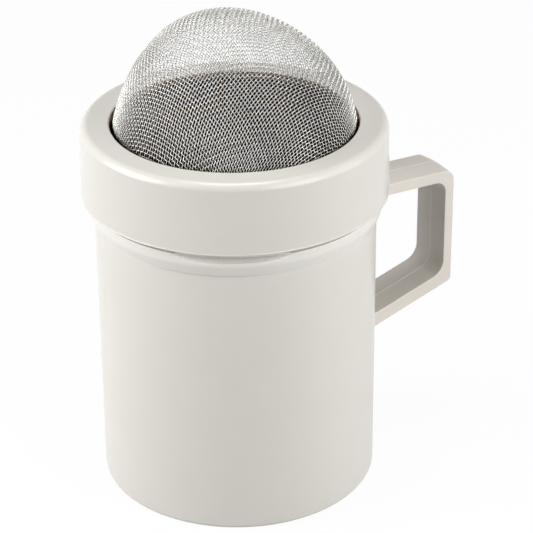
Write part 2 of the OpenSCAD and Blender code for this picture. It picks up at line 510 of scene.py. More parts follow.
@dataclass(frozen=True)
class DustAndShadeZone:
    """Where brown is painted, for powder and for shade in the cap's well: inside a radius and
    between two heights, in millimetres.

    Attributes:
        radius: The radius that it stays within.
        low: Its lower height.
        high: Its upper height.
        edge: How much the upper edge wanders.
        lean: Rise of the upper edge along x and y, per millimetre.
        waves: How large the waves of the upper edge are.
    """

    radius: float
    low: float
    high: float
    edge: float = 0.15
    lean: tuple[float, float] = (0.0, 0.0)
    waves: float = 1.6

    def mask(self, board: Board) -> Socket:
        """The zone's mask, 1 inside, with a slightly uneven upper edge.

        Args:
            board: The material's board.

        Returns:
            The socket of the mask.
        """
        inside = board.math("LESS_THAN", board.radius(), self.radius * MM)
        height = board.axes()[2]
        above = board.math("GREATER_THAN", height, self.low * MM)
        edge = self.edge * MM
        wander = board.range(board.noise(self.waves, 2.0), 0.3, 0.7, -edge, edge)
        level = board.math("SUBTRACT", board.math("ADD", height, wander), board.lean(self.lean))
        under = board.range(level, self.high * MM - edge, self.high * MM + edge, 1.0, 0.0)
        return board.math("MULTIPLY", board.math("MULTIPLY", inside, above), under)


@dataclass(frozen=True)
class DustAndShade:
    """Fine brown powder that clings to a wall; its colours also paint shade in the cap's well.

    Attributes:
        colour: Its colour where it lies thick.
        light: Its colour where it lies thin.
        roughness: Its dullness.
        gleam: Its specular level, as dry powder hardly shines.
        patch: Size of its thick and thin patches, in millimetres.
    """

    colour: Colour = from_screen(26, 12, 6)
    light: Colour = from_screen(52, 28, 16)
    roughness: float = 0.95
    gleam: float = 0.04
    patch: float = 0.8


@dataclass(frozen=True)
class MouldedPlastic:
    """Moulded plastic: a soft gloss over fine grain and faint flow marks.

    Attributes:
        name: The material's name.
        colour: Its colour.
        shade: The slightly darker colour of its flow marks.
        roughness: Its gloss, at its smoothest.
        duller: How much rougher it is at its dullest.
        flow: Size of the flow marks, in millimetres.
        grain: Size of the grain, in millimetres.
        grain_depth: Depth of the grain, in millimetres.
        ripple: Height of the faint rings that moulding leaves, in millimetres.
        ripple_depth: Depth of those rings, in millimetres.
        dust_and_shade: Where brown powder is painted, if anywhere; on the cap's lip it is painted
            shade too.
        powder: The brown painted there.
        seam: Half width of the pale parting line along the middle, if any, in millimetres.
        seam_pale: How far the parting line goes from the plastic's colour to white.
    """

    name: str
    colour: Colour
    shade: Colour
    roughness: float = 0.3
    duller: float = 0.06
    flow: float = 9.0
    grain: float = 0.35
    grain_depth: float = 0.0016
    ripple: float = 7.0
    ripple_depth: float = 0.004
    dust_and_shade: DustAndShadeZone | None = None
    powder: DustAndShade = DustAndShade()
    seam: float = 0.0
    seam_pale: float = 0.55

    def make(self) -> Material:
        """Builds the material and returns it."""
        board = Board(self.name)
        flow = board.patches(self.flow, 3.0, 0.35, 0.65)
        grain = board.patches(self.grain, 2.0)
        mottle = board.math("MULTIPLY", board.blend(grain, flow, 1.0), 0.5)
        colour = board.mix(mottle, self.colour, self.shade)
        gloss = board.range(flow, 0.0, 1.0, self.roughness, self.roughness + self.duller)
        rings = board.noise(self.ripple, 1.0, (0.12, 0.12, 1.0))
        relief = board.bump(grain, self.grain_depth, board.bump(rings, self.ripple_depth))
        if self.seam:
            pale = tuple(c + (1 - c) * self.seam_pale for c in self.colour)
            colour = board.mix(self.seam_mask(board), colour, pale)
        # Painted powder inside the zone; on the cap's lip the brown is painted shade too.
        if self.dust_and_shade is not None:
            zone = self.dust_and_shade.mask(board)
            thin = board.patches(self.powder.patch, 4.0)
            dust_and_shade_tone = board.mix(thin, self.powder.colour, self.powder.light)
            colour = board.mix(zone, colour, dust_and_shade_tone)
            gloss = board.blend(zone, gloss, self.powder.roughness)
            board.set(specular_ior_level=board.blend(zone, 0.5, self.powder.gleam))
        board.set(base_color=colour, roughness=gloss, normal=relief)
        board.shader.inputs["IOR"].default_value = 1.5
        return board.material

    def seam_mask(self, board: Board) -> Socket:
        """The mask of the parting line, 1 on it, a little broken along its length."""
        off = board.math("ABSOLUTE", board.axes()[1])
        line = board.range(off, self.seam * MM, self.seam * 1.5 * MM, 1.0, 0.0)
        return board.math("MULTIPLY", line, board.range(board.noise(3.0, 3.0), 0.3, 0.6, 0.4, 1.0))


@dataclass(frozen=True)
class SoftRubber:
    """Soft food-grade rubber with a dull, faintly mottled surface.

    Attributes:
        name: The material's name.
        colour: Its colour.
        dust_and_shade: Where powder clings.
        powder: The powder that clings there.
        darkest: What share of the colour is left in its darkest patches.
        sheen: Its soft sheen.
    """

    name: str
    colour: Colour
    dust_and_shade: DustAndShadeZone
    powder: DustAndShade = DustAndShade()
    darkest: float = 0.88
    sheen: float = 0.15

    def make(self) -> Material:
        """Builds the material and returns it."""
        board = Board(self.name)
        mottle = board.patches(2.5, 3.0)
        darker = tuple(c * self.darkest for c in self.colour)
        colour = board.mix(mottle, self.colour, darker)
        zone = self.dust_and_shade.mask(board)
        board.set(
            base_color=board.mix(zone, colour, self.powder.colour),
            roughness=board.range(mottle, 0.0, 1.0, 0.55, 0.7),
            specular_ior_level=board.blend(zone, 0.4, self.powder.gleam),
            normal=board.bump(board.noise(0.3, 2.0), 0.004),
        )
        board.shader.inputs["Sheen Weight"].default_value = self.sheen
        return board.material


@dataclass(frozen=True)
class Steel:
    """Bright stainless steel, drawn or pressed, painted brown for powder and shade near the rim.

    Attributes:
        name: The material's name.
        colour: Its colour.
        roughness: Its gloss, at its smoothest.
        scratch: Size of its drawing marks, in millimetres.
        dust_and_shade: Where it is painted brown: powder, and painted shade where it sits in the
            cap's well.
        powder: The brown painted there.
        darkest: What share of the colour is left in its drawing marks.
        duller: How much rougher it is in them.
    """

    name: str
    colour: Colour
    roughness: float
    scratch: float
    dust_and_shade: DustAndShadeZone
    powder: DustAndShade = DustAndShade()
    darkest: float = 0.9
    duller: float = 0.1

    def make(self) -> Material:
        """Builds the material and returns it."""
        board = Board(self.name)
        marks = board.patches(self.scratch, 3.0)
        tint = board.mix(marks, self.colour, tuple(c * self.darkest for c in self.colour))
        gloss = board.range(marks, 0.0, 1.0, self.roughness, self.roughness + self.duller)
        # Painted powder and painted shade: inside the zone the steel is brown, dull and not
        # metallic.
        zone = self.dust_and_shade.mask(board)
        board.set(
            base_color=board.mix(zone, tint, self.powder.colour),
            metallic=board.blend(zone, 1.0, 0.0),
            specular_ior_level=board.blend(zone, 0.5, self.powder.gleam),
            roughness=board.blend(zone, gloss, self.powder.roughness),
            normal=board.bump(marks, 0.002),
        )
        return board.material


@dataclass(frozen=True)
class PaleFloor:
    """A pale floor, white to the camera and in reflections.

    Attributes:
        colour: Its colour.
        shade: The slightly darker colour of its patches.
        bounce: Its colour in the light that it throws back on the cup.
        glow: How much of it is plain white where the camera or a reflection sees it.
    """

    colour: Colour = (0.88, 0.88, 0.88)
    shade: Colour = (0.86, 0.86, 0.86)
    bounce: Colour = (0.27, 0.27, 0.27)
    glow: float = 0.95

    def make(self) -> Material:
        """Builds the material and returns it."""
        board = Board("pale floor")
        pale = board.mix(board.patches(60.0, 2.0), self.colour, self.shade)
        bounced = board.add("ShaderNodeLightPath").outputs["Is Diffuse Ray"]
        board.set(base_color=board.mix(bounced, pale, self.bounce), roughness=0.9)
        blend = board.add("ShaderNodeMixShader")
        board.link(board.math("MULTIPLY", board.seen(), self.glow), blend.inputs[0])
        board.link(board.shader.outputs[0], blend.inputs[1])
        board.link(board.add("ShaderNodeEmission").outputs[0], blend.inputs[2])
        board.link(blend.outputs[0], board.surface)
        return board.material


PORCELAIN = from_screen(213, 210, 203)
PORCELAIN_SHADE = from_screen(208, 205, 197)
# Painted light: the neck is a lighter copy of the cup's plastic, for light bounced onto its collar.
NECK_PAINTED_LIGHT = from_screen(224, 221, 215)
NECK_PAINTED_LIGHT_FLOW = from_screen(219, 216, 209)
TAUPE = from_screen(214, 208, 200)
TAUPE_SHADE = from_screen(207, 200, 191)
RUBBER = from_screen(224, 220, 212)
PRESSED_STEEL = from_screen(205, 204, 200)
DRAWN_STEEL = from_screen(208, 207, 203)
# Painted shade and thin powder: lighter brown for the cap's opening wall, which faces the well.
THIN_DUST_AND_SHADE = DustAndShade(from_screen(112, 84, 62), from_screen(150, 122, 98))


# ---------- bodies ----------


class Body(Enum):
    """The bodies of the object that move against each other."""

    CUP = "cup"
    STRAINER = "strainer"
    SEAL = "seal"
    CAP = "cap"


def seat(piece: Piece, body: Body, slot: str, material: Material, *nodes: str) -> None:
    """Gives a finished piece its material, its body and what it stands for.

    Args:
        piece: The object.
        body: The body that carries it.
        slot: The record's material slot; not used.
        material: Its material.
        nodes: The solids that it replaces.
    """
    piece.data.materials.clear()
    piece.data.materials.append(material)
    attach(piece, body.value)
    if nodes:
        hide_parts(*nodes)
    tris = sum(len(p.vertices) - 2 for p in piece.data.polygons)
    LOG.info("%s: %d triangles, on %s", piece.name, tris, body.value)


# ---------- cup ----------


@dataclass
class Cup:
    """The cup: its body and the threaded neck ring that plugs into it.

    The collar flares from its foot over a brow to a shoulder. The saddle, the track of a wide
    roller, lowers the shoulder on one side. The recess under the foot and the floor are flat
    within middle_r. Powder shows dusty_skin deep in the walls of the two bores.
    """

    cup_r: float = 32.5
    bore_r: float = 30.3
    body_h: float = 66.5
    floor_z: float = 3.4
    middle_r: float = 20.0
    recess: float = 1.0
    foot_w: float = 2.6
    floor_fillet: float = 3.0
    collar_foot_r: float = 32.85
    collar_r: float = 33.85
    brow_z: float = 69.2
    shoulder_r: float = 33.9
    shoulder_z: float = 71.45
    saddle_r: float = 100.0
    saddle_z: float = 70.35
    saddle_turn: float = -122.6
    saddle_span: tuple[float, float] = (31.2, 37.2)
    neck_r: float = 30.55
    neck_bore_r: float = 28.45
    spigot_r: float = 30.25
    spigot_z: float = 62.5
    mouth_z: float = 84.6
    peg_r: float = 2.05
    peg_depth: float = 1.2
    peg_z: tuple[float, float] = (35.6, 56.4)
    drill_l: float = 4.0
    ridge_z: float = 73.0
    ridge_h: float = 0.62
    ridge_turns: float = 2.0
    pitch: float = 4.0
    dusty_skin: tuple[float, float] = (0.05, 0.35)

    def make_body(self) -> Piece:
        """Turns the cup's body and drills its two peg sockets."""
        foot_r = self.cup_r - self.foot_w
        body = turn(
            "cup_shell",
            [
                Corner(self.middle_r, self.recess),
                Corner(foot_r, self.recess, 0.5, 4),
                Corner(foot_r, 0.0, 0.4, 4),
                Corner(self.cup_r, 0.0, 1.0, 8),
                Corner(self.cup_r, self.body_h, 0.32, 4),
                Corner(self.bore_r, self.body_h, 0.18, 3),
                Corner(self.bore_r, self.floor_z, self.floor_fillet, 10),
                Corner(self.middle_r, self.floor_z),
            ],
            is_ring=False,
        )
        socket_r = self.cup_r - self.peg_depth
        for z in self.peg_z:
            drill = radial_bar("drill", self.peg_r, socket_r, socket_r + self.drill_l, z)
            cut_away(body, drill)
        smooth(body)
        return body

    def make_neck(self) -> Piece:
        """Turns the neck ring with its flared collar and spigot, and lowers its shoulder."""
        neck = turn(
            "neck_collar",
            [
                Corner(self.neck_bore_r, self.spigot_z, 0.3, 3),
                Corner(self.spigot_r, self.spigot_z, 0.4, 3),
                Corner(self.spigot_r, self.body_h),
                Corner(self.collar_foot_r, self.body_h, 0.28, 4),
                Corner(self.collar_r, self.brow_z, 0.5, 5),
                Corner(self.shoulder_r, self.shoulder_z, 0.2, 4),
                Corner(self.neck_r, self.shoulder_z, 0.4, 5),
                Corner(self.neck_r, self.mouth_z, 0.5, 6),
                Corner(self.neck_bore_r, self.mouth_z, 0.3, 4),
            ],
        )
        near, far = self.saddle_span
        axle_z = self.saddle_z + self.saddle_r
        saddle = radial_bar("saddle", self.saddle_r, near, far, axle_z, sides=720)
        settle(saddle)
        saddle.rotation_euler = (0, 0, math.radians(self.saddle_turn))
        settle(saddle)
        cut_away(neck, saddle)
        smooth(neck)
        return neck

    def make(self) -> None:
        """Builds the body, the neck ring and its thread, and dresses them."""
        skin, neck_skin = self.dusty_skin
        plastic = MouldedPlastic(
            "off-white plastic, dusty inside", PORCELAIN, PORCELAIN_SHADE,
            dust_and_shade=DustAndShadeZone(self.bore_r + skin, self.floor_z - 0.3, self.body_h + 1),
        ).make()
        seat(self.make_body(), Body.CUP, "cup_plastic", plastic, "cup_body")
        # Painted light: the neck ring's plastic is painted lighter than the cup's.
        plastic = MouldedPlastic(
            "off-white plastic of the neck", NECK_PAINTED_LIGHT, NECK_PAINTED_LIGHT_FLOW,
            dust_and_shade=DustAndShadeZone(self.neck_bore_r + neck_skin, 0.0, self.mouth_z + 1),
        ).make()
        seat(self.make_neck(), Body.CUP, "neck_plastic", plastic, "neck_ring")
        ridge = Thread(
            self.neck_r, self.ridge_h, self.ridge_z, self.ridge_turns, self.pitch, inward=False
        )
        seat(ridge.make("neck_thread"), Body.CUP, "neck_plastic", plastic)


@dataclass
class Thread:
    """A round-topped thread ridge on a wall.

    Attributes:
        wall_r: Radius of the wall.
        height: How far the ridge stands off it.
        low_z: Height of its lower end.
        turns: How many times it goes round.
        pitch: Its rise in one turn.
        inward: True in a bore, False on a neck.
        width: Its width at the wall.
        crest: The share of that width that is left at its crest.
        crest_round: How much of the crest's edges is rounded off.
        root: How deep it is rooted in the wall.
        steps: Segments in one turn.
        run_out: The share of a turn in which each end fades into the wall.
        end: The share of its height that is left at the very ends.
        crisp: Sharper edges than this, in degrees, stay crisp.
    """

    wall_r: float
    height: float
    low_z: float
    turns: float
    pitch: float
    inward: bool
    width: float = 1.5
    crest: float = 0.42
    crest_round: float = 0.16
    root: float = 0.15
    steps: int = 96
    run_out: float = 0.09
    end: float = 0.04
    crisp: float = 40.0

    def make(self, name: str) -> Piece:
        """Winds the ridge: a four-cornered section is screwed up the axis.

        Args:
            name: The piece's name.

        Returns:
            The finished object.
        """
        clear_bench()
        side = -1 if self.inward else 1
        middle = self.wall_r + side * (self.height - self.root) / 2
        bpy.ops.mesh.primitive_plane_add(
            size=MM, location=(middle * MM, 0, self.low_z * MM), rotation=(math.pi / 2, 0, 0)
        )
        piece = named(name)
        piece.scale = (self.height + self.root, self.width, 1)
        settle(piece)
        open_edit(piece)
        crest_r = self.wall_r + side * self.height
        pick_edges(piece, lambda a, b: max(abs(a.x - crest_r), abs(b.x - crest_r)) < SAME)
        bpy.ops.transform.resize(
            value=(1, 1, self.crest), center_override=(0, 0, self.low_z * MM)
        )
        round_picked(self.crest_round, 3)
        bpy.ops.mesh.select_all(action="SELECT")
        bpy.ops.mesh.delete(type="ONLY_FACE")
        bpy.ops.object.mode_set(mode="OBJECT")
        steps = round(self.steps * self.turns)
        use_modifier(
            piece, "SCREW", axis="Z", angle=2 * math.pi * self.turns, iterations=1,
            screw_offset=self.pitch * self.turns * MM, steps=steps, render_steps=steps,
            use_merge_vertices=False,
        )
        self.close_ends(piece)
        self.fade_ends(piece)
        weld(piece)
        smooth(piece, self.crisp)
        return piece

    def close_ends(self, piece: Piece) -> None:
        """Fills the two open ends of the ridge."""
        open_edit(piece)
        bpy.ops.mesh.select_non_manifold(
            extend=False, use_wire=False, use_boundary=True,
            use_multi_face=False, use_non_contiguous=False, use_verts=False,
        )
        bpy.ops.mesh.edge_face_add()
        bpy.ops.object.mode_set(mode="OBJECT")

    def fade_ends(self, piece: Piece) -> None:
        """Lets the ridge sink into the wall over its two ends."""
        floor_r = self.wall_r + (self.root if self.inward else -self.root)
        for vert in piece.data.vertices:
            place = vert.co / MM
            part = math.atan2(place.y, place.x) / (2 * math.pi)
            along = round((place.z - self.low_z) / self.pitch - part) + part
            near = min(along, self.turns - along) / self.run_out
            share = min(1.0, max(self.end, near))
            share = share * share * (3 - 2 * share)
            r = math.hypot(place.x, place.y)
            middle = self.low_z + along * self.pitch
            spread = (floor_r + (r - floor_r) * share) / r
            vert.co.x *= spread
            vert.co.y *= spread
            vert.co.z = (middle + (place.z - middle) * (0.5 + 0.5 * share)) * MM


# ---------- handle ----------


@dataclass
class Handle:
    """The closed loop handle, a strap whose spine lies along the cup.

    Attributes:
        cup_r: Radius of the cup that it is fitted to.
        strap_w: Width of the strap.
        reach: Distance of the grip bar's outer face from the cup's axis.
        arm_z: Height of the top arm's upper face at the cup.
        arm_drop: Its slope down and outwards, in degrees.
        arm_t: Thickness of the top arm.
        bar_t: Thickness of the grip bar.
        brace_z: Height of the lower arm's underside at the cup.
        brace_rise: Its slope up and outwards, in degrees.
        brace_t: Thickness of the lower arm.
        spine_t: Thickness of the spine.
        outer_corners: Radii of the upper and the lower outer corner.
        inner_corners: Radii of the finger space, at the bar and then at the spine.
        crown: How far the outer faces rise towards the strap's middle.
        inner_crown: How far the faces of the finger space rise there.
        crown_steps: Half width of each strip that rises, and its share of the rise.
        seam_h: Height of the parting line.
        seam_top: The share of that height on the top arm.
        edge_r: Rounding of the strap's edges.
        edge_steps: Segments of that rounding.
        edge_angle: Edges sharper than this, in degrees, are rounded.
        glue_gap: Room for glue between the spine and the cup.
        cutter_h: Height of the cutter that fits the spine to the cup.
        cutter_over: How far the finger space's cutter reaches past the strap on either side.
        peg_r: Radius of the two pegs.
        peg_end: Distance of their ends from the cup's axis.
        peg_root: How deep they are rooted in the spine.
        peg_z: Their heights.
        margin: How far off a face a place still counts as on it.
    """

    cup_r: float = Cup.cup_r
    strap_w: float = 11.5
    reach: float = 58.4
    arm_z: float = 65.4
    arm_drop: float = 2.5
    arm_t: float = 2.8
    bar_t: float = 2.4
    brace_z: float = 26.6
    brace_rise: float = 16.2
    brace_t: float = 3.4
    spine_t: float = 3.1
    outer_corners: tuple[float, float] = (3.1, 1.3)
    inner_corners: tuple[float, float, float, float] = (3.0, 4.0, 0.6, 0.6)
    crown: float = 0.45
    inner_crown: float = 0.15
    crown_steps: tuple[tuple[float, float], ...] = ((3.8, 0.54), (2.0, 0.34), (0.16, 0.12))
    seam_h: float = 0.07
    seam_top: float = 0.6
    edge_r: float = 0.45
    edge_steps: int = 4
    edge_angle: float = 48.0
    glue_gap: float = 0.05
    cutter_h: float = 90.0
    cutter_over: float = 2.0
    peg_r: float = 2.0
    peg_end: float = 31.35
    peg_root: float = 1.5
    peg_z: tuple[float, float] = Cup.peg_z
    margin: float = 0.1

    @property
    def arm_h(self) -> float:
        """Upright thickness of the top arm."""
        return self.arm_t / math.cos(math.radians(self.arm_drop))

    @property
    def brace_h(self) -> float:
        """Upright thickness of the lower arm."""
        return self.brace_t / math.cos(math.radians(self.brace_rise))

    def arm_at(self, x: float) -> float:
        """Height of the top arm's upper face at a distance from the axis."""
        return self.arm_z - (x - self.cup_r) * math.tan(math.radians(self.arm_drop))

    def brace_at(self, x: float) -> float:
        """Height of the lower arm's underside at a distance from the axis."""
        return self.brace_z + (x - self.cup_r) * math.tan(math.radians(self.brace_rise))

    def slab(
        self, name: str, near: float, far: float, top: float, low: float, half_w: float
    ) -> Piece:
        """A slab between two upright faces and the slopes of the two arms.

        Args:
            name: The slab's name.
            near: Distance of its inner upright face from the axis.
            far: Distance of its outer upright face.
            top: How far its top lies below the upper arm's upper face.
            low: How far its underside lies above the lower arm's underside.
            half_w: Half its width.

        Returns:
            The slab, in edit mode.
        """
        clear_bench()
        mid_z = (self.arm_z + self.brace_z) / 2
        half_h = 10.0
        bpy.ops.mesh.primitive_cube_add(size=MM, location=((near + far) / 2 * MM, 0, mid_z * MM))
        slab = named(name)
        slab.scale = (far - near, 2 * half_w, 2 * half_h)
        settle(slab)
        open_edit(slab, "VERT")
        for x in (near, far):
            for start, end in (
                (mid_z + half_h, self.arm_at(x) - top), (mid_z - half_h, self.brace_at(x) + low)
            ):
                pick_verts(slab, lambda p: abs(p.x - x) < SAME and abs(p.z - start) < SAME)
                bpy.ops.transform.translate(value=(0, 0, (end - start) * MM))
        return slab

    def round_edge(
        self, slab: Piece, x: float, is_top: bool, radius: float, steps: int = 10
    ) -> None:
        """Rounds one of a slab's four edges across the strap.

        Args:
            slab: The slab, in edit mode.
            x: The edge's distance from the axis.
            is_top: True for the upper edge at that distance.
            radius: The rounding's radius.
            steps: Its segments.
        """
        places = [vert.co / MM for vert in bmesh.from_edit_mesh(slab.data).verts]
        width = 2 * max(p.y for p in places)
        outward = 1 if x > sum(p.x for p in places) / len(places) else -1
        slope = math.radians(self.arm_drop if is_top else self.brace_rise)
        inside = math.pi / 2 + outward * slope
        heights = [p.z for p in places if abs(p.x - x) < SAME]
        z = max(heights) if is_top else min(heights)

        def is_edge(a: Vector, b: Vector) -> bool:
            ends = all(abs(p.x - x) < SAME and abs(p.z - z) < SAME for p in (a, b))
            return ends and abs(abs(a.y - b.y) - width) < SAME

        pick_edges(slab, is_edge)
        round_picked(radius / math.tan(inside / 2), steps)

    def make_strap(self) -> Piece:
        """Builds the loop: an outer slab less an inner one, fitted to the cup."""
        half_w = self.strap_w / 2
        spine_x, bar_x = self.cup_r + self.spine_t, self.reach - self.bar_t
        strap = self.slab("handle_strap", self.cup_r / 2, self.reach, 0.0, 0.0, half_w)
        for is_top, radius in zip((True, False), self.outer_corners):
            self.round_edge(strap, self.reach, is_top, radius)
        half_w += self.cutter_over
        loop = self.slab("finger_space", spine_x, bar_x, self.arm_h, self.brace_h, half_w)
        edges = ((bar_x, True), (bar_x, False), (spine_x, True), (spine_x, False))
        for (x, is_top), radius in zip(edges, self.inner_corners):
            self.round_edge(loop, x, is_top, radius)
        cut_away(strap, loop)
        clear_bench()
        bpy.ops.mesh.primitive_cylinder_add(
            vertices=SIDES, radius=(self.cup_r + self.glue_gap) * MM, depth=self.cutter_h * MM,
            location=(0, 0, self.cutter_h / 2 * MM),
        )
        cut_away(strap, named("cup_space"))
        self.raise_seam(strap)
        use_modifier(
            strap, "BEVEL", width=self.edge_r * MM, segments=self.edge_steps,
            limit_method="ANGLE", angle_limit=math.radians(self.edge_angle),
            use_clamp_overlap=True, harden_normals=False,
        )
        for z in self.peg_z:
            peg = radial_bar("peg", self.peg_r, self.peg_end, self.cup_r + self.peg_root, z)
            add_on(strap, peg)
        weld(strap, 0.001)
        return strap

    def in_loop(self, p: Vector) -> bool:
        """Says whether a place lies on the wall of the finger space."""
        near, far = self.cup_r + self.spine_t, self.reach - self.bar_t
        low, high = self.brace_at(p.x) + self.brace_h, self.arm_at(p.x) - self.arm_h
        across = near - self.margin < p.x < far + self.margin
        return across and low - self.margin < p.z < high + self.margin

    def raise_strip(
        self, strap: Piece, half_w: float, top: float, low: float, inner: float
    ) -> None:
        """Raises a strip along the strap's middle.

        Args:
            strap: The strap, in edit mode.
            half_w: Half the strip's width.
            top: How far it rises on the top arm.
            low: How far it sinks on the underside of the lower arm.
            inner: How far it rises in the finger space.
        """
        reach = half_w + SAME
        top_z = self.arm_at(self.reach) - self.outer_corners[0] - self.margin
        low_z = self.brace_at(self.reach) + self.outer_corners[1] + self.margin
        pick_verts(strap, lambda p: abs(p.y) < reach and p.z > top_z and not self.in_loop(p))
        bpy.ops.transform.translate(value=(0, 0, top * MM))
        pick_verts(strap, lambda p: abs(p.y) < reach and p.z < low_z and not self.in_loop(p))
        bpy.ops.transform.translate(value=(0, 0, -low * MM))
        pick_verts(strap, lambda p: abs(p.y) < reach and self.in_loop(p))
        bpy.ops.transform.shrink_fatten(value=inner * MM)

    def raise_seam(self, strap: Piece) -> None:
        """Crowns the strap towards its middle and raises the parting line there."""
        open_edit(strap, "VERT")
        widths = [width for width, _ in reversed(self.crown_steps)]
        for y in (0.0, *(side * width for width in widths for side in (1, -1))):
            bpy.ops.mesh.select_all(action="SELECT")
            bpy.ops.mesh.bisect(plane_co=(0, y * MM, 0), plane_no=(0, 1, 0))
        for width, share in self.crown_steps:
            rise = self.crown * share
            self.raise_strip(strap, width, rise, rise / 2, self.inner_crown * share)
        self.raise_strip(strap, 0.0, self.seam_h * self.seam_top, self.seam_h, self.seam_h)
        bpy.ops.object.mode_set(mode="OBJECT")

    def make(self) -> None:
        """Builds the handle and dresses it."""
        strap = self.make_strap()
        smooth(strap)
        plastic = MouldedPlastic("taupe plastic", TAUPE, TAUPE_SHADE, roughness=0.34, seam=0.11)
        seat(strap, Body.CUP, "handle_plastic", plastic.make(), "handle")


# ---------- cap ----------


@dataclass
class Cap:
    """The screw-on ring cap: glossy shell, threaded liner and soft seal.

    The shell's foot has a bead, whose two upper edges lie bead_z above it. The groove of the
    seal is groove_w wide at its mouth and at its floor. The opening's wall is painted brown,
    lip_dust_and_shade wide and as far below the top: thin powder, and painted shade where it faces
    down into the well. Powder lies on the seal's inner edge, dusty_seal wide.
    """

    cap_r: float = 35.0
    foot_r: float = 35.39
    bore_r: float = 33.0
    low_z: float = 72.8
    top_z: float = 89.6
    roof_z: float = 87.6
    opening_r: float = 28.4
    edge_r: float = 1.8
    lip_r: float = 0.4
    bead: float = 0.08
    bead_z: tuple[float, float] = (0.24, 0.36)
    liner_bore_r: float = 31.35
    liner_r: float = 32.95
    liner_z: float = 71.1
    seal_r: tuple[float, float] = (28.95, 30.95)
    seal_z: float = 86.4
    groove_w: tuple[float, float] = (0.8, 0.4)
    groove_depth: float = 0.3
    ridge_z: float = 75.0
    ridge_h: float = 0.55
    ridge_turns: float = 0.6
    pitch: float = Cup.pitch
    lip_dust_and_shade: tuple[float, float] = (0.3, 0.35)
    dusty_seal: float = 0.65

    def make_shell(self) -> Piece:
        """Turns the shell, open in the middle and at the bottom."""
        return turn(
            "cap_ring",
            [
                Corner(self.opening_r, self.roof_z, 0.25, 3),
                Corner(self.bore_r, self.roof_z, 0.3, 3),
                Corner(self.bore_r, self.low_z, 0.2, 3),
                Corner(self.foot_r, self.low_z, 0.1, 4),
                Corner(self.foot_r, self.low_z + self.bead_z[0], 0.06, 3),
                Corner(self.foot_r - self.bead, self.low_z + self.bead_z[1], 0.05, 2),
                Corner(self.cap_r, self.top_z, self.edge_r, 12),
                Corner(self.opening_r, self.top_z, self.lip_r, 6),
            ],
        )

    def make_liner(self) -> Piece:
        """Turns the liner that carries the thread."""
        return turn(
            "cap_sleeve",
            [
                Corner(self.liner_bore_r, self.liner_z, 0.4, 5),
                Corner(self.liner_r, self.liner_z, 0.4, 5),
                Corner(self.liner_r, self.roof_z, 0.3, 3),
                Corner(self.liner_bore_r, self.roof_z, 0.2, 3),
            ],
        )

    def make_seal(self) -> Piece:
        """Turns the soft ring, with a shallow groove in its underside."""
        near, far = self.seal_r
        middle = (near + far) / 2
        mouth, floor = (width / 2 for width in self.groove_w)
        floor_z = self.seal_z + self.groove_depth
        return turn(
            "roof_ring_seal",
            [
                Corner(near, self.seal_z, 0.25, 4),
                Corner(middle - mouth, self.seal_z, 0.1, 2),
                Corner(middle - floor, floor_z, 0.1, 2),
                Corner(middle + floor, floor_z, 0.1, 2),
                Corner(middle + mouth, self.seal_z, 0.1, 2),
                Corner(far, self.seal_z, 0.25, 4),
                Corner(far, self.roof_z, 0.15, 3),
                Corner(near, self.roof_z, 0.15, 3),
            ],
        )

    def make(self) -> None:
        """Builds the shell, the liner, its thread and the seal, and dresses them."""
        # Painted shade and thin powder: the opening's wall, facing down into the well, is brown.
        wide, below = self.lip_dust_and_shade
        gloss = MouldedPlastic(
            "glossy off-white plastic of the cap", PORCELAIN, PORCELAIN_SHADE, roughness=0.2,
            grain_depth=0.0006, powder=THIN_DUST_AND_SHADE,
            dust_and_shade=DustAndShadeZone(self.opening_r + wide, 0.0, self.top_z - below, edge=0.3),
        )
        seat(self.make_shell(), Body.CAP, "cap_plastic", gloss.make(), "cap_shell")
        plain = MouldedPlastic("off-white plastic of the liner", PORCELAIN, PORCELAIN_SHADE).make()
        seat(self.make_liner(), Body.CAP, "liner_plastic", plain, "cap_liner")
        ridge = Thread(
            self.liner_bore_r, self.ridge_h, self.ridge_z, self.ridge_turns, self.pitch, inward=True
        )
        seat(ridge.make("liner_thread"), Body.CAP, "liner_plastic", plain)
        dusty = DustAndShadeZone(self.seal_r[0] + self.dusty_seal, 0.0, self.top_z)
        rubber = SoftRubber("soft pale rubber", RUBBER, dusty).make()
        seat(self.make_seal(), Body.SEAL, "seal_rubber", rubber, "roof_seal")


# ---------- strainer ----------


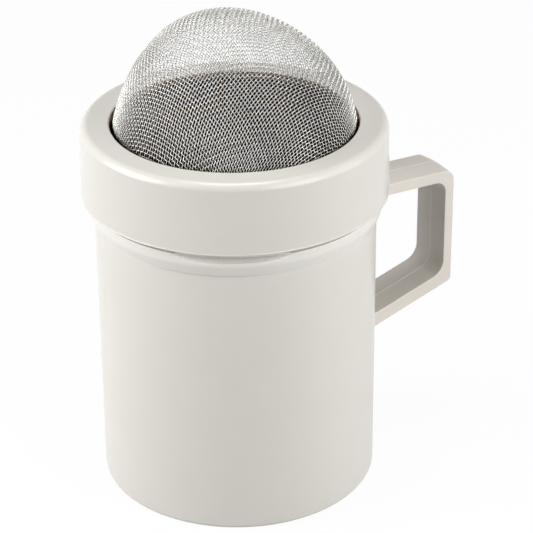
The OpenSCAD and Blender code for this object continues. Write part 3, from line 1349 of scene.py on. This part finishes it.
@dataclass
class Strainer:
    """The woven dome and the folded steel rim that holds its edge.

    The cloth is a net pressed over a dome: its cells keep the lengths of their sides and lean
    over where the dome falls away. The pressing leaves the dome a little uneven. Right and left
    are the camera's.

    Attributes:
        rim_r: Inner and outer radius of the folded rim.
        rim_z: Its lowest and highest height.
        fold_r: Radius of the floor of its channel.
        fold_z: Lower and upper height of its channel.
        flange_r: Inner and outer radius of the flange at the cloth's foot.
        flange_z: Its lower and upper height.
        dome_r: Radius of the dome.
        dome_z: Height of its centre.
        cell: Sides of a cell, across and along.
        wire_d: Thickness of a wire.
        wire_gap: Half the space between two wires that cross.
        net_reach: How far the net reaches from the dome's top, as an angle.
        knot_end: Height on a unit dome at which the wires end.
        weave_turn: How far the weave is turned about the axis, in degrees.
        weave_tilt: How far it is tilted about x and y, in degrees.
        points_per_cell: Points of a wire in one cell.
        lean: How far the dome's top leans to the right, or where negative to the left.
        lift: How far the top is drawn up.
        tilt: How far the right side rises, or where negative sinks, and the left the other way.
        flank: How far the foot stands out.
        shoulder: How far the right shoulder stands out, and the left one in.
        flat: How far the upper left stands out, or where negative is pressed in.
        foot_steps: The shares of the way down to the flange at which a wire is bent.
        dust_and_shade: Where the steel is painted powder-brown, low on the rim, the flange and the
            cloth:
        powder, and painted shade where the cloth sits deep in the cap's well; its upper
        edge rises towards the far side.
    """

    rim_r: tuple[float, float] = (28.35, 30.95)
    rim_z: tuple[float, float] = (84.6, 86.4)
    fold_r: float = 30.35
    fold_z: tuple[float, float] = (85.2, 85.8)
    flange_r: tuple[float, float] = (26.3, 30.3)
    flange_z: tuple[float, float] = (85.25, 85.75)
    dome_r: float = 26.62
    dome_z: float = 87.4
    cell: tuple[float, float] = (0.911, 0.681)
    wire_d: float = 0.138
    wire_gap: float = 0.004
    net_reach: float = 1.66
    knot_end: float = 0.03
    weave_turn: float = 15.9
    weave_tilt: tuple[float, float] = (2.9, 2.8)
    points_per_cell: int = 4
    lean: float = -1.94
    lift: float = 0.48
    tilt: float = -0.62
    flank: float = 1.3
    shoulder: float = 0.32
    flat: float = -0.5
    foot_steps: tuple[float, ...] = (0.35, 0.7, 1.0)
    # Painted shade and powder: the steel is brown below this leaning height, in the cap's dark
    # well.
    dust_and_shade: DustAndShadeZone = DustAndShadeZone(29.5, 0.0, 89.3, edge=0.2, lean=(0.0062, 0.01))

    def __post_init__(self) -> None:
        """Works out the net of knots on a unit dome, one quarter of it, cell by cell."""
        self.side_way = from_view((1, 0, 0))
        turn_x, turn_y = (math.radians(angle) for angle in self.weave_tilt)
        self.stance = (
            Matrix.Rotation(turn_y, 3, "Y")
            @ Matrix.Rotation(turn_x, 3, "X")
            @ Matrix.Rotation(math.radians(self.weave_turn), 3, "Z")
        )
        across, along = (size / self.dome_r for size in self.cell)
        self.last = [math.floor(self.net_reach / step) for step in (across, along)]
        row = [
            Vector((0, math.sin(j * along), math.cos(j * along))) for j in range(self.last[1] + 1)
        ]
        self.net = [row]
        for i in range(1, self.last[0] + 1):
            knot = Vector((math.sin(i * across), 0, math.cos(i * across)))
            fresh = [knot]
            for j in range(1, self.last[1] + 1):
                middle = (knot + row[j]).normalized()
                knot = 2 * row[j - 1].dot(middle) * middle - row[j - 1]
                fresh.append(knot)
            self.net.append(fresh)
            row = fresh

    def knot(self, i: int, j: int) -> Vector:
        """A knot of the whole net, from its signed numbers, in the row frame."""
        q = self.net[abs(i)][abs(j)]
        signed = Vector((-q.x if i < 0 else q.x, -q.y if j < 0 else q.y, q.z))
        return self.stance @ signed

    def pressed(self, way: Vector, off: float) -> Vector:
        """Where a direction of the unit dome lies on the real one, pressed a little by hand.

        Args:
            way: The direction, in the row frame.
            off: How far outside the cloth's middle, in millimetres.

        Returns:
            The place, in millimetres.
        """
        up = min(1.0, max(0.0, way.z))
        side = way.dot(self.side_way)
        left = max(0.0, (way.z - side) / math.sqrt(2))
        r = self.dome_r + off + self.flat * left**6 + self.flank * (1 - up) ** 3
        r += self.shoulder * side * up * (1 - up) * 4
        place = way * r + self.side_way * (self.lean * up * up)
        place.z += self.dome_z + self.lift * up * up + self.tilt * side * up
        return place

    def wire_path(self, number: int, side: int, is_weft: bool) -> list[Vector]:
        """The middle line of one wire, over and under its neighbours in turn.

        Args:
            number: The wire's number, 0 through the top.
            side: 1 where the wire goes over its neighbour 0, -1 where under.
            is_weft: True for the family that runs the other way.

        Returns:
            Its points, in millimetres, or none where the wire would miss the dome.
        """

        def at(k: int) -> Vector:
            return self.knot(k, number) if is_weft else self.knot(number, k)

        longest = self.last[0 if is_weft else 1]
        ends = []
        for way in (-1, 1):
            limit = 0
            while limit < longest and at(way * (limit + 1)).z > self.knot_end:
                limit += 1
            ends.append(way * limit)
        if at(0).z < 2 * self.knot_end or ends[1] - ends[0] < 4:
            return []
        rise = self.wire_d / 2 + self.wire_gap
        phase = 1 if number % 2 == 0 else -1
        count = self.points_per_cell
        points = []
        for k in range(ends[0] * count, ends[1] * count + 1):
            cell, rest = divmod(k, count)
            way = at(cell).slerp(at(cell + 1), rest / count) if rest else at(cell)
            off = side * phase * rise * math.cos(math.pi * k / count)
            points.append(self.pressed(way, off))
        return self.foot(points[0], side)[::-1] + points + self.foot(points[-1], side)

    def foot(self, end: Vector, side: int) -> list[Vector]:
        """The points that lead a wire from its last knot down to the flange."""
        out = Vector((end.x, end.y, 0)).normalized()
        r = math.hypot(end.x, end.y)
        spread = self.dome_r + self.flank + side * self.wire_d / 2 - r
        drop = self.flange_z[1] - end.z
        return [
            out * (r + spread * share) + Vector((0, 0, end.z + drop * share))
            for share in self.foot_steps
        ]

    def weave(self, name: str, numbers: Iterable[int], side: int, is_weft: bool) -> Piece:
        """Draws some wires of one family as curves and makes them one mesh.

        Args:
            name: The piece's name.
            numbers: The wires' numbers.
            side: 1 for the family that starts over, -1 for the other.
            is_weft: True for the family that runs the other way.

        Returns:
            The mesh object.
        """
        curve = bpy.data.curves.new(name, "CURVE")
        curve.dimensions = "3D"
        curve.bevel_depth = self.wire_d / 2 * MM
        curve.bevel_resolution = 1
        curve.use_fill_caps = True
        for number in numbers:
            path = self.wire_path(number, side, is_weft)
            if not path:
                continue
            spline = curve.splines.new("POLY")
            spline.points.add(len(path) - 1)
            for point, place in zip(spline.points, path):
                point.co = (*(place * MM), 1.0)
        piece = bpy.data.objects.new(name, curve)
        bpy.context.scene.collection.objects.link(piece)
        hold(piece)
        bpy.ops.object.convert(target="MESH")
        piece = named(name)
        hold(piece)
        bpy.ops.object.shade_smooth()
        return piece

    def make_rim(self) -> Piece:
        """Turns the folded rim, a channel open towards the axis."""
        near, far = self.rim_r
        low, high = self.rim_z
        fold_low, fold_high = self.fold_z
        return turn(
            "strainer_band",
            [
                Corner(near, low, 0.15, 3),
                Corner(far, low, 0.6, 6),
                Corner(far, high, 0.6, 6),
                Corner(near, high, 0.15, 3),
                Corner(near, fold_high, 0.1, 2),
                Corner(self.fold_r, fold_high, 0.2, 3),
                Corner(self.fold_r, fold_low, 0.2, 3),
                Corner(near, fold_low, 0.1, 2),
            ],
        )

    def make_flange(self) -> Piece:
        """Turns the pressed flange at the cloth's foot."""
        near, far = self.flange_r
        low, high = self.flange_z
        outline = ((near, low), (far, low), (far, high), (near, high))
        return turn("cloth_flange", [Corner(r, z, 0.15, 3) for r, z in outline])

    def make(self) -> None:
        """Builds the rim, the flange and the cloth, and dresses them."""
        sheet = Steel("pressed steel", PRESSED_STEEL, 0.28, 1.2, self.dust_and_shade).make()
        seat(self.make_rim(), Body.STRAINER, "rim_steel", sheet, "strainer_rim")
        wire = Steel("drawn steel wire", DRAWN_STEEL, 0.2, 0.6, self.dust_and_shade).make()
        seat(self.make_flange(), Body.STRAINER, "wire_steel", wire)
        for family, side, is_weft in (("warp", 1, False), ("weft", -1, True)):
            top = self.last[1 if is_weft else 0]
            for half, numbers in (("near", range(-top, 0)), ("far", range(0, top + 1))):
                wires = self.weave(f"cloth_{family}_{half}", numbers, side, is_weft)
                seat(wires, Body.STRAINER, "wire_steel", wire, "mesh_dome")


# ---------- studio ----------


@dataclass(frozen=True)
class Lamp:
    """A soft box: its place and aim in the view's own directions, in millimetres.

    Attributes:
        name: Its name.
        place: Right of, behind and above the cup's foot, as the camera sees it.
        aim: The point that it faces, in the same way.
        width: Its width.
        height: Its height.
        power: Its power in watts.
    """

    name: str
    place: tuple[float, float, float]
    aim: tuple[float, float, float]
    width: float
    height: float
    power: float

    def hang(self) -> None:
        """Adds the soft box to the scene."""
        data = bpy.data.lights.new(self.name, "AREA")
        data.shape = "RECTANGLE"
        data.size, data.size_y = self.width * MM, self.height * MM
        data.energy = self.power
        light = bpy.data.objects.new(self.name, data)
        light.location = from_view(self.place) * MM
        way = from_view(self.aim) * MM - light.location
        light.rotation_euler = way.to_track_quat("-Z", "Y").to_euler()
        bpy.context.scene.collection.objects.link(light)


@dataclass
class Studio:
    """A plain pale floor, plain surroundings, soft boxes and the camera.

    Attributes:
        view_lift: How far the camera looks down, in degrees.
        roll: How far it is rolled about its own axis, in degrees.
        eye: Its place, in the view's own directions.
        lens: Its focal length.
        sensor: Width of its sensor.
        clip: The nearest and the farthest that it sees, in metres.
        facing: Where the surroundings start and end to darken towards the camera's side, as
            cosines of the angle to it.
        greys: Their grey in reflections, away from the camera's side and on it.
        floor_size: Width of the floor.
        floor_drop: How far the floor lies below the cup's foot.
        lamps: The soft boxes.
    """

    view_lift: float = 27.763
    roll: float = 0.47
    eye: tuple[float, float, float] = (6.98, -460.25, 293.98)
    lens: float = 149.96
    sensor: float = 36.0
    clip: tuple[float, float] = (0.01, 20.0)
    facing: tuple[float, float] = (0.1, 0.95)
    greys: tuple[float, float] = (0.68, 0.36)
    floor_size: float = 6000.0
    floor_drop: float = 0.2
    lamps: tuple[Lamp, ...] = (
        Lamp("left box", (-520, -120, 225), (0, 0, 40), 480, 560, 4.6),
        Lamp("right box", (520, -120, 225), (0, 0, 40), 480, 560, 1.5),
        Lamp("front right box", (395, -420, 245), (0, 0, 40), 400, 550, 2.7),
        Lamp("top box", (0, 60, 620), (0, 0, 60), 260, 260, 1.35),
    )

    def make_camera(self) -> None:
        """Adds the camera at its viewing angle."""
        data = bpy.data.cameras.new("camera")
        data.sensor_width = self.sensor
        data.lens = self.lens
        data.clip_start, data.clip_end = self.clip
        camera = bpy.data.objects.new("camera", data)
        camera.location = from_view(self.eye) * MM
        camera.rotation_euler = (
            Matrix.Rotation(math.radians(-VIEW_TURN), 3, "Z")
            @ Matrix.Rotation(math.radians(90 - self.view_lift), 3, "X")
            @ Matrix.Rotation(math.radians(-self.roll), 3, "Z")
        ).to_euler()
        bpy.context.scene.collection.objects.link(camera)
        bpy.context.scene.camera = camera

    def make_world(self) -> None:
        """Makes surroundings that only the camera and reflections see."""
        world = bpy.data.worlds.new("studio")
        bpy.context.scene.world = world
        world.use_nodes = True
        nodes = Nodes(world.node_tree)
        ground = nodes.add("ShaderNodeBackground")
        nodes.link(ground.outputs[0], nodes.add("ShaderNodeOutputWorld").inputs[0])
        nodes.link(nodes.seen(), ground.inputs["Strength"])
        nodes.link(self.surroundings(nodes), ground.inputs["Color"])

    def surroundings(self, nodes: Nodes) -> Socket:
        """White to the camera, and grey in reflections, darkest on the camera's side.

        Args:
            nodes: The world's node tree.

        Returns:
            The socket of the grey value.
        """
        way = nodes.add("ShaderNodeTexCoord").outputs["Generated"]
        side = nodes.add("ShaderNodeVectorMath", operation="DOT_PRODUCT")
        nodes.link(way, side.inputs[0])
        side.inputs[1].default_value = from_view((0, -1, 0))
        grey = nodes.range(side.outputs["Value"], *self.facing, *self.greys, "SMOOTHSTEP")
        direct = nodes.add("ShaderNodeLightPath").outputs["Is Camera Ray"]
        return nodes.math("MAXIMUM", grey, direct)

    def make_floor(self) -> None:
        """Lays the pale floor, which keeps the cup's soft shadow."""
        clear_bench()
        bpy.ops.mesh.primitive_plane_add(
            size=self.floor_size * MM, location=(0, 0, -self.floor_drop * MM)
        )
        floor = named("floor")
        settle(floor)
        floor.data.materials.append(PaleFloor().make())

    def make(self) -> None:
        """Sets up the floor, the light and the camera."""
        self.make_floor()
        self.make_world()
        for lamp in self.lamps:
            lamp.hang()
        self.make_camera()
        bpy.context.scene.view_settings.view_transform = "Standard"


def main() -> None:
    """Builds every piece in order, then the studio."""
    logging.basicConfig(level=logging.INFO, format="%(message)s")
    Cup().make()
    Handle().make()
    Cap().make()
    Strainer().make()
    Studio().make()
    clear_bench()


if __name__ == "__main__":
    main()
